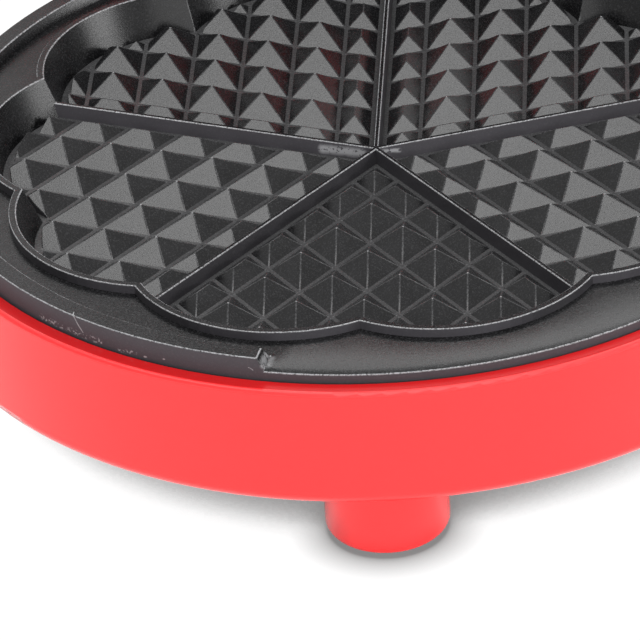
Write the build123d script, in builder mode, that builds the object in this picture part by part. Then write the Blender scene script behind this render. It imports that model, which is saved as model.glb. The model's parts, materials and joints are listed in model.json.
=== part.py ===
from build123d import *
from math import cos, radians, sin
import os

os.makedirs("parts", exist_ok=True)

# Flower waffle maker, lid open. Millimetres, +Z up, front towards -Y.
# Each half is drawn in its own frame: origin on the plates' axis at the level of the
# groove floors, +Z out of the cooking face, +Y towards the hinge.

# Cooking pattern
heart_count = 5
groove_pitch = 11.3
first_groove = 9.1
groove_floor = 0.9
pyramid_height = 4.1
pyramid_to_wall = 1.6
divider_top = 1.0
divider_base = 2.0
divider_height = 3.2
lobe_reach = 51.6
lobe_radius = 34.4
wall_top = 1.6
wall_slope = 3.2
wall_height = 9.0

# Cooking plate
plate_radius = 96.0
plate_skin = 3.5
well_inset = 9.0
ring_height = 7.0
flange_underside = 2.0
edge_bevel = 1.6
edge_drop = 0.5
lip_height = 9.6
lip_width = 4.0
lip_slope = 1.3
lip_end_angle = 78.8
lip_end_slope = 1.4
plate_gap = 0.6

# Housings
rim_width = 3.5
rim_depth = 2.4
rim_height = 4.6
housing_wall = 2.4
housing_depth = 27.2
housing_edge = 3.0
rim_edge = 0.7
plate_clearance = 0.5

# Posts, bosses and their screws
post_count = 3
post_inset = 6.0
post_turn = 45.0
post_radius = 5.5
boss_radius = 5.0
screw_radius = 1.9
screw_clearance = 0.2
thread_fit = 0.05
screw_head_radius = 3.6
screw_head_height = 2.2
screw_bite = 6.0
head_recess = 2.8

# Heating element and reflector
element_reach = 55.0
element_tube = 3.3
element_gap_angle = 20.0
element_bend = 8.0
element_fit = 0.05
channel_wall = 1.6
channel_depth = 5.0
bead_length = 5.0
spade_width = 6.3
spade_thickness = 0.8
spade_length = 7.0
reflector_gap = 2.0
reflector_sheet = 0.8
reflector_drop = 13.4
reflector_edge = 2.8

# Feet
foot_count = 4
foot_inset = 15.7
foot_turn = -87.5
foot_radius = 12.9
foot_height = 14.7
foot_wall = 2.4
foot_edge = 2.0
foot_core = 4.0
pad_radius = 9.0
pad_thickness = 2.0
pad_proud = 0.5
foot_screw_radius = 1.5
foot_screw_bite = 8.0
foot_screw_head = 3.0
foot_head_height = 1.5

# Hinge
hinge_offset = 13.0
hinge_boss = 7.0
pin_radius = 3.0
pin_running = 0.05
arm_inner = 26.0
lid_arm_width = 9.6
base_arm_width = 9.6
arm_gap = 0.4
pin_tail = 1.0
pin_head_radius = 4.2
pin_head = 1.4
arm_drop = 20.0
open_angle = 105.0
heel_length = 16.0
heel_half = 6.0
stop_gap = 0.3
stop_top = 9.0

# Cord inlet, without its cord
gland_level = -12.0
gland_neck = 5.2
gland_bore = 3.5
gland_flange = 7.4
gland_flange_thickness = 2.6
gland_fit = 0.05
gland_nut_thickness = 3.0
nut_sides = 6
gland_seat = 1.0

# Electrical pieces
block_width = 30.0
block_depth = 9.0
block_height = 9.0
block_gap = 2.6
block_port = 1.6
lead_radius = 1.1
lead_spread = 9.0
thermostat_radius = 8.0
thermostat_height = 6.0
thermostat_reach = 26.0
thermostat_window = 10.5
lead_level = -17.0
lead_bend = 4.0
fuse_radius = 2.2
fuse_length = 30.0
fuse_side = 30.0
fuse_sleeve = 0.6

# Handle
handle_width = 74.0
handle_length = 46.0
handle_thickness = 17.0
handle_corner = 12.0
handle_edge = 4.0
handle_level = -10.0
handle_shell = 2.4
pad_width = 56.0
pad_stand = 2.5
pad_height = 15.0
handle_screw_spread = 18.0
handle_screw_radius = 1.9
handle_screw_bite = 12.0
handle_root = 15.0
liner_thickness = 2.4
liner_fit = 0.2
liner_screw_radius = 1.3
liner_screw_head = 2.4
liner_boss = 3.6
liner_screw_bite = 6.0
liner_head_height = 1.3

# Indicator lamps
lamp_spread = 11.0
lamp_inset = 14.5
lens_radius = 4.0
lens_flange = 5.6
lens_proud = 1.4
lens_fit = 0.1
lens_inside = 1.4
lamp_gap = 0.3
board_post = 2.6
lamp_radius = 2.4
lamp_length = 5.0
board_width = 30.0
board_depth = 9.0
board_thickness = 1.6

# Sizes that follow from the driving ones
half_turn = 180.0
full_turn = 360.0
heart_turn = full_turn / heart_count
lobe_turn = heart_turn / 4
divider_start = 90.0
heart_axis = -90.0
core_radius = lobe_reach * cos(radians(lobe_turn))
lobe_half_gap = lobe_reach * sin(radians(lobe_turn))
cusp_reach = core_radius + (lobe_radius**2 - lobe_half_gap**2) ** 0.5
floor_lobe = lobe_radius - wall_top - wall_slope
well_radius = plate_radius - well_inset
housing_back = rim_height - housing_depth
plate_height = foot_height - housing_back
plates_apart = 2 * wall_height + plate_gap
hinge_height = plates_apart / 2
opening_radius = plate_radius + plate_clearance
housing_radius = opening_radius + rim_width
inside_radius = housing_radius - housing_wall
back_inside = housing_back + housing_wall
hinge_reach = housing_radius + hinge_offset
foot_reach = housing_radius - foot_inset
lamp_reach = housing_radius - lamp_inset
block_reach = inside_radius - gland_seat - gland_nut_thickness - block_gap - block_depth / 2
block_front = block_reach - block_depth / 2
reflector_radius = block_front - reflector_gap
post_reach = reflector_radius - post_inset
reflector_back = -reflector_drop - reflector_sheet
element_level = -plate_skin - element_fit - element_tube
element_gap = radians(element_gap_angle)
ring_end_side = element_reach * sin(element_gap)
leg_end = block_front - bead_length
element_leg = leg_end - (element_reach + element_bend) * cos(element_gap)
leg_side = ring_end_side - element_bend * (1 - sin(element_gap))
lid_arm_outer = arm_inner + lid_arm_width
base_arm_inner = lid_arm_outer + arm_gap
base_arm_outer = base_arm_inner + base_arm_width
arm_foot = hinge_height - arm_drop
arm_depth = rim_height - rim_edge - arm_foot
arm_root = (inside_radius**2 - base_arm_outer**2) ** 0.5 - rim_edge
arm_shoulder = (housing_radius**2 - arm_inner**2) ** 0.5
stop_face = hinge_reach - heel_half - stop_gap
foot_top = housing_back
foot_floor = housing_back - foot_height
block_floor = back_inside
block_top = back_inside + block_height
board_level = back_inside + lens_inside + lamp_gap + lamp_length
handle_front = housing_radius + pad_stand
handle_tip = handle_front + handle_length

# The object stands with the middle of its outline over the origin, lid open
lid_lean = radians(open_angle - 90)
handle_back = plates_apart - hinge_height - handle_level + handle_thickness / 2
swing_reach = (hinge_reach + handle_tip - handle_edge) * sin(lid_lean)
swing_depth = (handle_back - handle_edge) * cos(lid_lean) + handle_edge
axis_y = (housing_radius - hinge_reach - swing_reach - swing_depth) / 2

# The lid's frame is the base's turned over about Y, then swung open about the hinge
base_frame = Plane(origin=(0, axis_y, plate_height))
lid_closed = Location((0, axis_y, plate_height + plates_apart), (0, half_turn, 0))
hinge_line = Location((0, axis_y + hinge_reach, plate_height + hinge_height))
lid_frame = Plane(hinge_line * Location((0, 0, 0), (-open_angle, 0, 0)) * hinge_line.inverse() * lid_closed)
halves = {"lower": base_frame, "upper": lid_frame}

stand_up = (Align.CENTER, Align.CENTER, Align.MIN)


def facing(azimuth):
    """Upright plane through the axis that faces outwards at an azimuth, sketch y upwards."""
    along, across = cos(radians(azimuth)), sin(radians(azimuth))
    return Plane(origin=(0, 0, 0), x_dir=(-across, along, 0), z_dir=(along, across, 0))


def slicing(azimuth):
    """Upright plane that holds the axis, sketch x outwards at an azimuth and y upwards."""
    along, across = cos(radians(azimuth)), sin(radians(azimuth))
    return Plane(origin=(0, 0, 0), x_dir=(along, across, 0), z_dir=(across, -along, 0))


def save(piece, label, frame):
    """Carry a finished piece into the frame of its half, label it and write it."""
    piece.part = piece.part.moved(frame.location)
    piece.part.label = label
    export_step(piece.part, f"parts/{label}.step")


def save_pair(piece, name):
    """Write a piece that both halves have, once in each half's frame."""
    for half, frame in halves.items():
        placed = piece.part.moved(frame.location)
        placed.label = f"{half}_{name}"
        export_step(placed, f"parts/{placed.label}.step")


def post_circles(radius):
    """Circles on the screw posts, in the sketch that is open."""
    with PolarLocations(post_reach, post_count, start_angle=post_turn):
        Circle(radius)


def lobe_circles(radius):
    """The flower outline's lobes and the disc that fills their middle."""
    Circle(core_radius)
    with PolarLocations(lobe_reach, 2 * heart_count, start_angle=heart_axis + lobe_turn):
        Circle(radius)


# One heart's pyramids: two families of roofs, each parallel to one of its dividers.
# The first roof of a family is narrower and lower, between the divider and the first groove.
roof_half = (groove_pitch - groove_floor) / 2
roof_count = int(2 * lobe_reach / groove_pitch)
field_reach = lobe_reach + lobe_radius
edge_roof_start = divider_base / 2 + groove_floor
edge_roof_end = first_groove - groove_floor / 2
edge_roof_half = (edge_roof_end - edge_roof_start) / 2
edge_roof_height = edge_roof_half * pyramid_height / roof_half
with BuildPart() as heart_field:
    for side in (1, -1):
        roof_middles = [side * (first_groove + (row + 0.5) * groove_pitch) for row in range(roof_count)]
        with BuildSketch(facing(heart_axis - side * heart_turn / 2)):
            with Locations(*[(middle, 0) for middle in roof_middles]):
                Polygon((-roof_half, 0), (roof_half, 0), (0, pyramid_height), align=None)
            with Locations((side * (edge_roof_start + edge_roof_half), 0)):
                Polygon((-edge_roof_half, 0), (edge_roof_half, 0), (0, edge_roof_height), align=None)
        extrude(amount=field_reach, mode=Mode.ADD if side > 0 else Mode.INTERSECT)
    with BuildSketch():
        Circle(core_radius)
        with PolarLocations(
            lobe_reach, 2, start_angle=heart_axis - lobe_turn, angular_range=2 * lobe_turn, endpoint=True
        ):
            Circle(floor_lobe - pyramid_to_wall)
    extrude(amount=pyramid_height, mode=Mode.INTERSECT)

# Half-round lip on the ring's edge; its two ends slope down to the ring
with BuildPart() as lip:
    with BuildSketch(slicing(half_turn - lip_end_angle)):
        Polygon(
            (plate_radius - lip_width - lip_slope, ring_height - edge_drop),
            (plate_radius, ring_height - edge_drop),
            (plate_radius, lip_height),
            (plate_radius - lip_width, lip_height),
            align=None,
        )
    revolve(axis=Axis.Z, revolution_arc=2 * lip_end_angle)
    lip_top = lip.faces().sort_by(Axis.Z)[-1]
    lip_ends = lip_top.edges().filter_by(GeomType.LINE)
    chamfer(lip_ends, length=lip_end_slope, length2=lip_height - ring_height, reference=lip_top)

# Cooking plate: one casting, the same in both halves, so its half-round lip faces the other's gap
with BuildPart() as cooking_plate:
    with BuildSketch(Plane.XZ):
        Polygon(
            (0, -plate_skin),
            (well_radius, -plate_skin),
            (well_radius, flange_underside),
            (plate_radius, flange_underside),
            (plate_radius, ring_height - edge_drop),
            (plate_radius - edge_bevel, ring_height),
            (0, ring_height),
            align=None,
        )
    revolve(axis=Axis.Z)
    with BuildSketch(Plane.XY.offset(ring_height)):
        lobe_circles(lobe_radius)
    extrude(amount=wall_height - ring_height)
    with PolarLocations(lobe_reach, 2 * heart_count, start_angle=heart_axis + lobe_turn):
        Cone(floor_lobe, lobe_radius - wall_top, wall_height, align=stand_up, mode=Mode.SUBTRACT)
    Cylinder(core_radius, wall_height, align=stand_up, mode=Mode.SUBTRACT)
    add(lip.part)
    for spoke in range(heart_count):
        with BuildSketch(facing(divider_start + spoke * heart_turn)):
            Polygon(
                (-divider_base / 2, 0),
                (divider_base / 2, 0),
                (divider_top / 2, divider_height),
                (-divider_top / 2, divider_height),
                align=None,
            )
        extrude(amount=cusp_reach - wall_top)
    with PolarLocations(0, heart_count):
        add(heart_field.part)
    with BuildSketch(Plane.XY.offset(-reflector_drop)):
        post_circles(boss_radius)
    extrude(amount=reflector_drop - plate_skin)
    with BuildSketch(Plane.XY.offset(-reflector_drop)):
        post_circles(screw_radius + thread_fit)
    extrude(amount=screw_bite + thread_fit, mode=Mode.SUBTRACT)
    channel_half = element_tube + element_fit
    with BuildSketch(Plane.XY.offset(-plate_skin - channel_depth)):
        Circle(element_reach + channel_half + channel_wall)
        Circle(element_reach + channel_half, mode=Mode.SUBTRACT)
        Circle(element_reach - channel_half, mode=Mode.ADD)
        Circle(element_reach - channel_half - channel_wall, mode=Mode.SUBTRACT)
        with Locations((0, element_reach)):
            Rectangle(2 * (ring_end_side + channel_half), element_reach, mode=Mode.SUBTRACT)
    extrude(amount=channel_depth)
save_pair(cooking_plate, "cooking_plate")

# Tubular heating element: an open ring whose two legs run out towards the hinge
with BuildPart() as heating_element:
    with BuildLine(Plane.XY.offset(element_level)) as element_line:
        ring = CenterArc(
            (0, 0), element_reach, divider_start + element_gap_angle, full_turn - 2 * element_gap_angle
        )
        left_bend = JernArc(ring @ 0, (ring % 0) * -1, element_bend, divider_start - element_gap_angle)
        right_bend = JernArc(ring @ 1, ring % 1, element_bend, element_gap_angle - divider_start)
        Line(left_bend @ 1, left_bend @ 1 + Vector(0, element_leg))
        Line(right_bend @ 1, right_bend @ 1 + Vector(0, element_leg))
    element_path = element_line.wire()
    with BuildSketch(Plane(origin=element_path @ 0, z_dir=element_path % 0)):
        Circle(element_tube)
    sweep(path=element_path)
save_pair(heating_element, "heating_element")

with BuildPart() as element_beads:
    with BuildSketch(Plane.XZ.offset(-leg_end)):
        with Locations((leg_side, element_level), (-leg_side, element_level)):
            Circle(element_tube)
    extrude(amount=-bead_length)
save_pair(element_beads, "element_beads")

with BuildPart() as element_spades:
    with BuildSketch(Plane.XZ.offset(-leg_end - bead_length)):
        with Locations((leg_side, element_level), (-leg_side, element_level)):
            Rectangle(spade_width, spade_thickness)
    extrude(amount=-spade_length)
save_pair(element_spades, "element_spades")

# Heat reflector: a shallow dish held between the plate's bosses and the housing's posts
with BuildPart() as heat_reflector:
    with BuildSketch(Plane.XY.offset(reflector_back)):
        Circle(reflector_radius)
    extrude(amount=reflector_sheet + reflector_edge)
    with BuildSketch(Plane.XY.offset(-reflector_drop)):
        Circle(reflector_radius - reflector_sheet)
    extrude(amount=reflector_edge, mode=Mode.SUBTRACT)
    with BuildSketch(Plane.XY.offset(reflector_back)):
        post_circles(screw_radius + screw_clearance)
        with Locations((0, -thermostat_reach)):
            Circle(thermostat_window)
    extrude(amount=reflector_sheet, mode=Mode.SUBTRACT)
save_pair(heat_reflector, "heat_reflector")

# Screws that hold each plate and reflector to its housing
with BuildPart() as plate_screws:
    with BuildSketch(Plane.XY.offset(housing_back + head_recess - screw_head_height)):
        post_circles(screw_head_radius)
    extrude(amount=screw_head_height)
    with BuildSketch(Plane.XY.offset(housing_back + head_recess)):
        post_circles(screw_radius)
    extrude(amount=screw_bite - reflector_drop - housing_back - head_recess)
save_pair(plate_screws, "plate_screws")

# Thermostat against the lower plate and its two leads to the terminal block
thermostat_bottom = -plate_skin - thermostat_height
with BuildPart() as thermostat:
    with BuildSketch(Plane.XY.offset(thermostat_bottom)):
        with Locations((0, -thermostat_reach)):
            Circle(thermostat_radius)
    extrude(amount=thermostat_height)
save(thermostat, "thermostat", base_frame)

lead_side = lead_spread / 2
with BuildPart() as thermostat_leads:
    for side in (-1, 1):
        with BuildLine() as lead_line:
            FilletPolyline(
                (side * lead_side, -thermostat_reach, thermostat_bottom),
                (side * lead_side, -thermostat_reach, lead_level),
                (side * lead_side, block_front, lead_level),
                radius=lead_bend,
            )
        lead_path = lead_line.wire()
        with BuildSketch(Plane(origin=lead_path @ 0, z_dir=lead_path % 0)):
            Circle(lead_radius)
        sweep(path=lead_path)
save(thermostat_leads, "thermostat_leads", base_frame)

# Thermal fuse in its cradle on the housing's floor
with BuildPart() as thermal_fuse:
    with BuildSketch(Plane.XZ.offset(-fuse_length / 2)):
        with Locations((fuse_side, lead_level)):
            Circle(fuse_radius)
    extrude(amount=fuse_length)
save(thermal_fuse, "thermal_fuse", base_frame)

with BuildPart() as fuse_clip:
    with BuildSketch(Plane.XZ.offset(-fuse_length / 4)):
        with Locations((fuse_side, back_inside)):
            Rectangle(
                2 * (fuse_radius + fuse_sleeve),
                lead_level - back_inside,
                align=(Align.CENTER, Align.MIN),
            )
        with Locations((fuse_side, lead_level)):
            Circle(fuse_radius, mode=Mode.SUBTRACT)
    extrude(amount=fuse_length / 2)
save(fuse_clip, "fuse_clip", base_frame)

# Ceramic terminal block by the hinge, and the short leads up to the element's spades
with BuildPart() as terminal_block:
    with BuildSketch(Plane.XY.offset(block_floor)):
        with Locations((0, block_reach)):
            RectangleRounded(block_width, block_depth, block_port)
    extrude(amount=block_height)
    with BuildSketch(Plane.XY.offset(block_floor)):
        with PolarLocations(foot_reach, foot_count, start_angle=foot_turn):
            Circle(foot_screw_head + screw_clearance)
    extrude(amount=foot_head_height + screw_clearance, mode=Mode.SUBTRACT)
save(terminal_block, "terminal_block", base_frame)

with BuildPart() as element_leads:
    with BuildSketch(Plane.XY.offset(block_top)):
        with Locations((leg_side, block_reach), (-leg_side, block_reach)):
            Circle(lead_radius)
    extrude(amount=element_level - spade_thickness / 2 - block_top)
save(element_leads, "element_leads", base_frame)


def arm_profile():
    """Side view of a hinge arm: from the housing's wall to a round end about the hinge pin."""
    with Locations((hinge_reach, hinge_height)):
        Circle(hinge_boss)
    with Locations((arm_shoulder, arm_foot)):
        Rectangle(rim_edge, arm_depth, align=(Align.MAX, Align.MIN))
    make_hull()
    with Locations((arm_root, arm_foot)):
        Rectangle(arm_shoulder - arm_root, arm_depth, align=(Align.MIN, Align.MIN))


def arm_pair(inner, width):
    """A pair of hinge arms, left and right, in the part that is open."""
    for start in (inner, -inner - width):
        with BuildSketch(Plane.YZ.offset(start)) as side_view:
            arm_profile()
        extrude(side_view.sketch, amount=width)


def pin_holes(inner, width, radius):
    """The hinge pin's holes through a pair of arms."""
    for start in (inner, -inner - width):
        with BuildSketch(Plane.YZ.offset(start)) as hole:
            with Locations((hinge_reach, hinge_height)):
                Circle(radius)
        extrude(hole.sketch, amount=width, mode=Mode.SUBTRACT)


def housing_drum():
    """The housing's outer form: a drum with a rounded back and a softened rim."""
    with BuildSketch(Plane.XY.offset(housing_back)) as outline:
        Circle(housing_radius)
    drum = extrude(outline.sketch, amount=housing_depth)
    fillet(drum.edges().sort_by(Axis.Z)[0], housing_edge)
    fillet(drum.edges().sort_by(Axis.Z)[-1], rim_edge)


def housing_inside():
    """Hollow the drum, leave its narrow rim, and raise the drilled screw posts."""
    with BuildSketch(Plane.XY.offset(back_inside)) as pocket:
        Circle(inside_radius)
    extrude(pocket.sketch, amount=rim_height - rim_depth - back_inside, mode=Mode.SUBTRACT)
    with BuildSketch(Plane.XY.offset(rim_height - rim_depth)) as opening:
        Circle(opening_radius)
    extrude(opening.sketch, amount=rim_depth, mode=Mode.SUBTRACT)
    with BuildSketch(Plane.XY.offset(back_inside)) as posts:
        post_circles(post_radius)
    extrude(posts.sketch, amount=reflector_back - back_inside)
    with BuildSketch(Plane.XY.offset(housing_back)) as drilling:
        post_circles(screw_radius + screw_clearance)
    extrude(drilling.sketch, amount=reflector_back - housing_back, mode=Mode.SUBTRACT)
    with BuildSketch(Plane.XY.offset(housing_back)) as recesses:
        post_circles(screw_head_radius + screw_clearance)
    extrude(recesses.sketch, amount=head_recess, mode=Mode.SUBTRACT)


# Base housing: the red drum, its outer hinge arms and the lid's stops
with BuildPart() as base_housing:
    housing_drum()
    arm_pair(base_arm_inner, base_arm_width)
    stop_width = base_arm_inner - arm_inner
    for start in (arm_inner, -base_arm_inner):
        with BuildSketch(Plane.YZ.offset(start)):
            with Locations((stop_face, hinge_height - stop_top)):
                Rectangle(stop_face - arm_root, heel_length - stop_top, align=(Align.MAX, Align.MAX))
        extrude(amount=stop_width)
    housing_inside()
    pin_holes(base_arm_inner, base_arm_width, pin_radius)
    with BuildSketch(Plane.XZ.offset(gland_seat - inside_radius)):
        with Locations((0, gland_level)):
            Circle(gland_flange + gland_seat)
    extrude(amount=-housing_wall)
    with BuildSketch(Plane.XZ.offset(gland_seat - inside_radius)):
        with Locations((0, gland_level)):
            Circle(gland_neck + gland_fit)
    extrude(amount=-hinge_reach, mode=Mode.SUBTRACT)
    with BuildSketch(Plane.XZ.offset(gland_seat - housing_radius)):
        with Locations((0, gland_level)):
            Circle(gland_flange + gland_fit)
    extrude(amount=-hinge_reach, mode=Mode.SUBTRACT)
    with BuildSketch(Plane.XY.offset(housing_back)):
        with PolarLocations(foot_reach, foot_count, start_angle=foot_turn):
            Circle(foot_screw_radius + thread_fit)
    extrude(amount=housing_wall, mode=Mode.SUBTRACT)
save(base_housing, "base_housing", base_frame)

# Feet: round cups with a core for the screw, each on a rubber pad
foot_names = ("front", "right", "rear", "left")
for place, name in enumerate(foot_names):
    foot_azimuth = radians(foot_turn + place * full_turn / foot_count)
    foot_spot = (foot_reach * cos(foot_azimuth), foot_reach * sin(foot_azimuth))
    with BuildPart() as foot:
        with BuildSketch(Plane.XY.offset(foot_floor + pad_proud)):
            with Locations(foot_spot):
                Circle(foot_radius)
        cup = extrude(amount=foot_height - pad_proud)
        fillet(cup.edges().sort_by(Axis.Z)[0], foot_edge)
        with BuildSketch(Plane.XY.offset(foot_floor + pad_thickness + foot_wall)):
            with Locations(foot_spot):
                Circle(foot_radius - foot_wall)
                Circle(foot_core, mode=Mode.SUBTRACT)
        extrude(amount=foot_height, mode=Mode.SUBTRACT)
        with BuildSketch(Plane.XY.offset(foot_floor)):
            with Locations(foot_spot):
                Circle(pad_radius)
        extrude(amount=pad_thickness, mode=Mode.SUBTRACT)
        with BuildSketch(Plane.XY.offset(foot_top - foot_screw_bite)):
            with Locations(foot_spot):
                Circle(foot_screw_radius + thread_fit)
        extrude(amount=foot_screw_bite, mode=Mode.SUBTRACT)
    save(foot, f"foot_{name}", base_frame)

with BuildPart() as foot_pads:
    with BuildSketch(Plane.XY.offset(foot_floor)):
        with PolarLocations(foot_reach, foot_count, start_angle=foot_turn):
            Circle(pad_radius)
    extrude(amount=pad_thickness)
save(foot_pads, "foot_pads", base_frame)

with BuildPart() as foot_screws:
    with BuildSketch(Plane.XY.offset(foot_top - foot_screw_bite + thread_fit)):
        with PolarLocations(foot_reach, foot_count, start_angle=foot_turn):
            Circle(foot_screw_radius)
    extrude(amount=foot_screw_bite - thread_fit + housing_wall)
    with BuildSketch(Plane.XY.offset(back_inside)):
        with PolarLocations(foot_reach, foot_count, start_angle=foot_turn):
            Circle(foot_screw_head)
    extrude(amount=foot_head_height)
save(foot_screws, "foot_screws", base_frame)

# Cord inlet: a gland through the rear wall and its nut inside
with BuildPart() as cord_gland:
    with BuildSketch(Plane.XZ.offset(gland_seat - housing_radius)):
        with Locations((0, gland_level)):
            Circle(gland_flange)
    extrude(amount=-gland_flange_thickness)
    with BuildSketch(Plane.XZ.offset(gland_seat - housing_radius)):
        with Locations((0, gland_level)):
            Circle(gland_neck)
    extrude(amount=housing_wall + gland_nut_thickness)
    with BuildSketch(Plane.XZ.offset(gland_seat - housing_radius - gland_flange_thickness)):
        with Locations((0, gland_level)):
            Circle(gland_bore)
    extrude(amount=housing_radius, mode=Mode.SUBTRACT)
save(cord_gland, "cord_gland", base_frame)

with BuildPart() as gland_nut:
    with BuildSketch(Plane.XZ.offset(gland_seat - inside_radius)):
        with Locations((0, gland_level)):
            RegularPolygon(gland_flange, nut_sides)
            Circle(gland_neck + gland_fit, mode=Mode.SUBTRACT)
    extrude(amount=gland_nut_thickness)
save(gland_nut, "gland_nut", base_frame)

# Hinge pins: pressed into the base's arms, running in the lid's
with BuildPart() as hinge_pins:
    for side in (-1, 1):
        with BuildSketch(Plane.YZ.offset(side * base_arm_outer)):
            with Locations((hinge_reach, hinge_height)):
                Circle(pin_radius)
        extrude(amount=side * (arm_inner - pin_tail - base_arm_outer))
        with BuildSketch(Plane.YZ.offset(side * base_arm_outer)):
            with Locations((hinge_reach, hinge_height)):
                Circle(pin_head_radius)
        extrude(amount=side * pin_head)
save(hinge_pins, "hinge_pins", base_frame)

# Lid housing: the same drum with inner hinge arms, their heels, a handle pad and lamp holes
handle_spots = ((-handle_screw_spread, handle_level), (handle_screw_spread, handle_level))
lamp_spots = ((-lamp_spread, -lamp_reach), (lamp_spread, -lamp_reach))
head_floor = inside_radius - gland_seat
with BuildPart() as lid_housing:
    housing_drum()
    arm_pair(arm_inner, lid_arm_width)
    for start in (arm_inner, -lid_arm_outer):
        with BuildSketch(Plane.YZ.offset(start)):
            with Locations((hinge_reach, hinge_height)):
                Rectangle(
                    heel_length, 2 * heel_half, rotation=90 - open_angle, align=(Align.MIN, Align.CENTER)
                )
        extrude(amount=lid_arm_width)
    with BuildSketch(Plane.XZ.offset(handle_front)):
        with Locations((0, handle_level)):
            RectangleRounded(pad_width, pad_height, pad_stand)
    extrude(amount=-housing_wall - 3 * pad_stand)
    housing_inside()
    pin_holes(arm_inner, lid_arm_width, pin_radius + pin_running)
    with BuildSketch(Plane.XZ.offset(handle_front)):
        with Locations(*handle_spots):
            Circle(handle_screw_radius + screw_clearance)
    extrude(amount=-handle_root, mode=Mode.SUBTRACT)
    with BuildSketch(Plane.XZ.offset(head_floor + housing_wall / 2)):
        with Locations(*handle_spots):
            Circle(screw_head_radius + screw_clearance)
    extrude(amount=-handle_root, mode=Mode.SUBTRACT)
    with BuildSketch(Plane.XY.offset(housing_back)):
        with Locations(*lamp_spots):
            Circle(lens_radius + lens_fit)
    extrude(amount=housing_wall, mode=Mode.SUBTRACT)
    with BuildSketch(Plane.XY.offset(back_inside)):
        with Locations((0, -lamp_reach)):
            Circle(board_post)
    extrude(amount=board_level - back_inside)
save(lid_housing, "lid_housing", lid_frame)

# Handle: a grip tray screwed to the lid's pad, closed by a liner on the side of the plates
grip_middle = handle_front + handle_length / 2
grip_back = handle_level - handle_thickness / 2
grip_face = handle_level + handle_thickness / 2
pocket_front = handle_front + handle_root
pocket_length = handle_tip - handle_shell - pocket_front
pocket_middle = pocket_front + pocket_length / 2
pocket_width = handle_width - 2 * handle_shell
liner_spots = ((-handle_screw_spread, -pocket_middle), (handle_screw_spread, -pocket_middle))
with BuildPart() as handle_grip:
    with BuildSketch(Plane.XY.offset(grip_back)):
        with Locations((0, -grip_middle)):
            RectangleRounded(handle_width, handle_length, handle_corner)
        with Locations((0, -handle_front)):
            Rectangle(handle_width, 2 * handle_corner, align=(Align.CENTER, Align.MAX))
    grip = extrude(amount=handle_thickness)
    fillet(grip.edges().group_by(Axis.Z)[0], handle_edge)
    with BuildSketch(Plane.XY.offset(grip_back + handle_shell)):
        with Locations((0, -pocket_middle)):
            RectangleRounded(pocket_width, pocket_length, handle_corner - handle_shell)
    extrude(amount=handle_thickness, mode=Mode.SUBTRACT)
    with BuildSketch(Plane.XY.offset(grip_back + handle_shell)):
        with Locations(*liner_spots):
            Circle(liner_boss)
    extrude(amount=handle_thickness - handle_shell - liner_thickness)
    with BuildSketch(Plane.XY.offset(grip_face - liner_thickness)):
        with Locations(*liner_spots):
            Circle(liner_screw_radius + thread_fit)
    extrude(amount=-liner_screw_bite - thread_fit, mode=Mode.SUBTRACT)
    with BuildSketch(Plane.XZ.offset(handle_front)):
        with Locations(*handle_spots):
            Circle(handle_screw_radius + thread_fit)
    extrude(amount=handle_screw_bite + thread_fit, mode=Mode.SUBTRACT)
save(handle_grip, "handle_grip", lid_frame)

with BuildPart() as handle_liner:
    with BuildSketch(Plane.XY.offset(grip_face - liner_thickness)):
        with Locations((0, -pocket_middle)):
            RectangleRounded(
                pocket_width - 2 * liner_fit,
                pocket_length - 2 * liner_fit,
                handle_corner - handle_shell - liner_fit,
            )
        with Locations(*liner_spots):
            Circle(liner_screw_radius + liner_fit, mode=Mode.SUBTRACT)
    extrude(amount=liner_thickness)
save(handle_liner, "handle_liner", lid_frame)

with BuildPart() as liner_screws:
    with BuildSketch(Plane.XY.offset(grip_face)):
        with Locations(*liner_spots):
            Circle(liner_screw_head)
    extrude(amount=liner_head_height)
    with BuildSketch(Plane.XY.offset(grip_face)):
        with Locations(*liner_spots):
            Circle(liner_screw_radius)
    extrude(amount=-liner_thickness - liner_screw_bite)
save(liner_screws, "liner_screws", lid_frame)

with BuildPart() as handle_screws:
    with BuildSketch(Plane.XZ.offset(head_floor + housing_wall / 2)):
        with Locations(*handle_spots):
            Circle(screw_head_radius)
    extrude(amount=-screw_head_height)
    with BuildSketch(Plane.XZ.offset(head_floor + housing_wall / 2)):
        with Locations(*handle_spots):
            Circle(handle_screw_radius)
    extrude(amount=handle_front + handle_screw_bite - head_floor - housing_wall / 2)
save(handle_screws, "handle_screws", lid_frame)

# Indicator lamps in the lid: a lens in each hole, a lamp behind it, both on one board
for name, spot in zip(("power", "ready"), lamp_spots):
    with BuildPart() as lens:
        with BuildSketch(Plane.XY.offset(housing_back)):
            with Locations(spot):
                Circle(lens_flange)
        cap = extrude(amount=-lens_proud)
        fillet(cap.edges().sort_by(Axis.Z)[0], lens_proud / 2)
        with BuildSketch(Plane.XY.offset(housing_back)):
            with Locations(spot):
                Circle(lens_radius)
        extrude(amount=housing_wall + lens_inside)
    save(lens, f"{name}_lens", lid_frame)
    with BuildPart() as lamp:
        with BuildSketch(Plane.XY.offset(back_inside + lens_inside + lamp_gap)):
            with Locations(spot):
                Circle(lamp_radius)
        extrude(amount=lamp_length)
    save(lamp, f"{name}_lamp", lid_frame)

with BuildPart() as lamp_board:
    with BuildSketch(Plane.XY.offset(board_level)):
        with Locations((0, -lamp_reach)):
            Rectangle(board_width, board_depth)
    extrude(amount=board_thickness)
save(lamp_board, "lamp_board", lid_frame)
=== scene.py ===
"""Looks of the flower waffle maker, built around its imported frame.

Lengths are metres in the frame's own axes: +Z up, front towards -Y, lid open at the back.
"""

import json
from math import cos, pi, radians, sin

import bmesh
import bpy
import numpy as np
from mathutils import Matrix, Vector


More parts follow.
